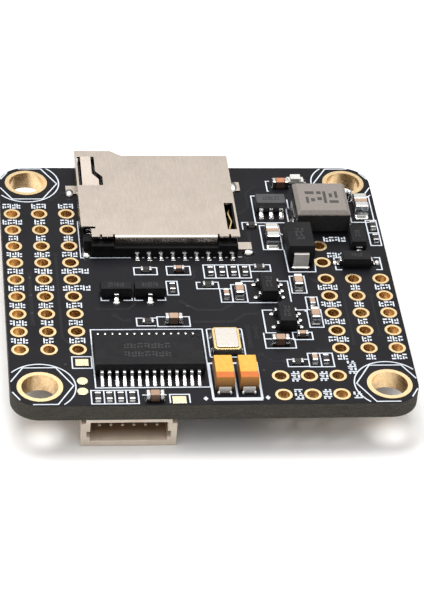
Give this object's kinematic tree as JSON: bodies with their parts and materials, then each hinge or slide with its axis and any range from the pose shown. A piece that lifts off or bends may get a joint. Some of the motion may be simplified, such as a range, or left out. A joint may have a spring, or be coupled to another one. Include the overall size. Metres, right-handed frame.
{
  "type": "flight controller board",
  "caption": "Square stack-mount flight controller board with corner mounting holes, plated solder-hole grids, a card slot, chips, and wire and USB sockets on the underside.",
  "frame": {"origin": "centre of the four-hole mounting pattern, on the plane of the bare board's underside", "axes": "+Z out of the component side, -Y towards the edge with the six-way wire socket, +Y towards the card slot's mouth and the USB socket, +X towards the power inductor's side"},
  "size_m": [0.0356, 0.036, 0.007],
  "materials": {
    "board_laminate": "black solder mask over grey-brown glass laminate",
    "gold_plating": "immersion gold, satin",
    "shell_steel": "fine satin stainless sheet",
    "insulator_plastic": "black glass-filled plastic",
    "contact_gold": "gold-flashed spring bronze",
    "slider_plastic": "dark grey moulded plastic",
    "spring_steel": "bright drawn wire",
    "chip_epoxy": "black moulded epoxy, fine grain",
    "tinned_metal": "matt tin with bright solder",
    "crystal_ceramic": "dark alumina ceramic",
    "crystal_gold": "gold seal ring",
    "can_metal": "pale satin metal can",
    "tantalum_resin": "orange-yellow moulded resin with a darker polarity band",
    "inductor_composite": "warm grey pressed iron powder",
    "resistor_glaze": "black glass glaze on white ceramic",
    "capacitor_ceramic": "brown and tan ceramic",
    "socket_nylon": "natural beige nylon",
    "barometer_laminate": "dark green laminate",
    "led_ceramic": "white laminate",
    "led_lens": "cloudy clear resin",
    "plunger_plastic": "off-white plastic",
    "silkscreen_ink": "white printed ink, drawn only in the visual model",
    "solder": "bright solder fillets, drawn only in the visual model"
  },
  "bodies": {
    "board": {"circuit_board": "board_laminate", "mounting_hole_plating": "gold_plating", "left_header_plating": "gold_plating", "right_header_plating": "gold_plating", "video_header_plating": "gold_plating", "surface_pads": "gold_plating", "card_shell": "shell_steel", "card_base": "insulator_plastic", "card_contacts": "contact_gold", "card_detect_contact": "contact_gold", "card_slider_spring": "spring_steel", "osd_chip_body": "chip_epoxy", "osd_chip_leads": "tinned_metal", "crystal_bases": "crystal_ceramic", "crystal_rings": "crystal_gold", "crystal_lids": "can_metal", "tantalum_bodies": "tantalum_resin", "tantalum_terminals": "tinned_metal", "inductor_core": "inductor_composite", "inductor_terminals": "tinned_metal", "buck_chip_body": "chip_epoxy", "buck_chip_leads": "tinned_metal", "transistor_bodies": "chip_epoxy", "transistor_leads": "tinned_metal", "regulator_bodies": "chip_epoxy", "regulator_leads": "tinned_metal", "power_diode_body": "chip_epoxy", "power_diode_terminals": "tinned_metal", "small_diode_bodies": "chip_epoxy", "small_diode_leads": "tinned_metal", "resistor_bodies": "resistor_glaze", "resistor_terminals": "tinned_metal", "small_capacitor_bodies": "capacitor_ceramic", "small_capacitor_terminals": "tinned_metal", "large_capacitor_bodies": "capacitor_ceramic", "large_capacitor_terminals": "tinned_metal", "near_socket_housing": "socket_nylon", "near_socket_pins": "tinned_metal", "near_socket_tabs": "tinned_metal", "far_socket_housing": "socket_nylon", "far_socket_pins": "tinned_metal", "far_socket_tabs": "tinned_metal", "usb_shell": "shell_steel", "usb_tongue": "insulator_plastic", "usb_contacts": "contact_gold", "processor_body": "chip_epoxy", "processor_leads": "tinned_metal", "gyro_body": "chip_epoxy", "barometer_base": "barometer_laminate", "barometer_lid": "can_metal", "led_bases": "led_ceramic", "led_lenses": "led_lens", "boot_button_base": "insulator_plastic", "boot_button_cover": "shell_steel", "boot_button_dome": "spring_steel"},
    "slider": {"card_slider": "slider_plastic"},
    "cam_wire": {"card_cam_wire": "spring_steel"},
    "boot_plunger": {"boot_button_plunger": "plunger_plastic"}
  },
  "joints": [
    {"name": "card_slide", "type": "slide", "parent": "board", "child": "slider", "axis": [0, -1, 0], "range_m": [0, 0.0046], "stiffness_N_per_m": 150, "deforming": ["card_slider_spring"]},
    {"name": "cam_swing", "type": "hinge", "parent": "board", "child": "cam_wire", "pos_m": [-0.0088, 0.0046, 0.00292], "axis": [0, 0, 1], "range_deg": [0, 2.6]},
    {"name": "boot_press", "type": "slide", "parent": "board", "child": "boot_plunger", "axis": [0, 0, 1], "range_m": [0, 0.00025], "stiffness_N_per_m": 4000, "deforming": ["boot_button_dome"]}
  ],
  "couplings": [
    {"joint": "cam_swing", "follows": "card_slide", "rad_per_m": 9.2733}
  ]
}
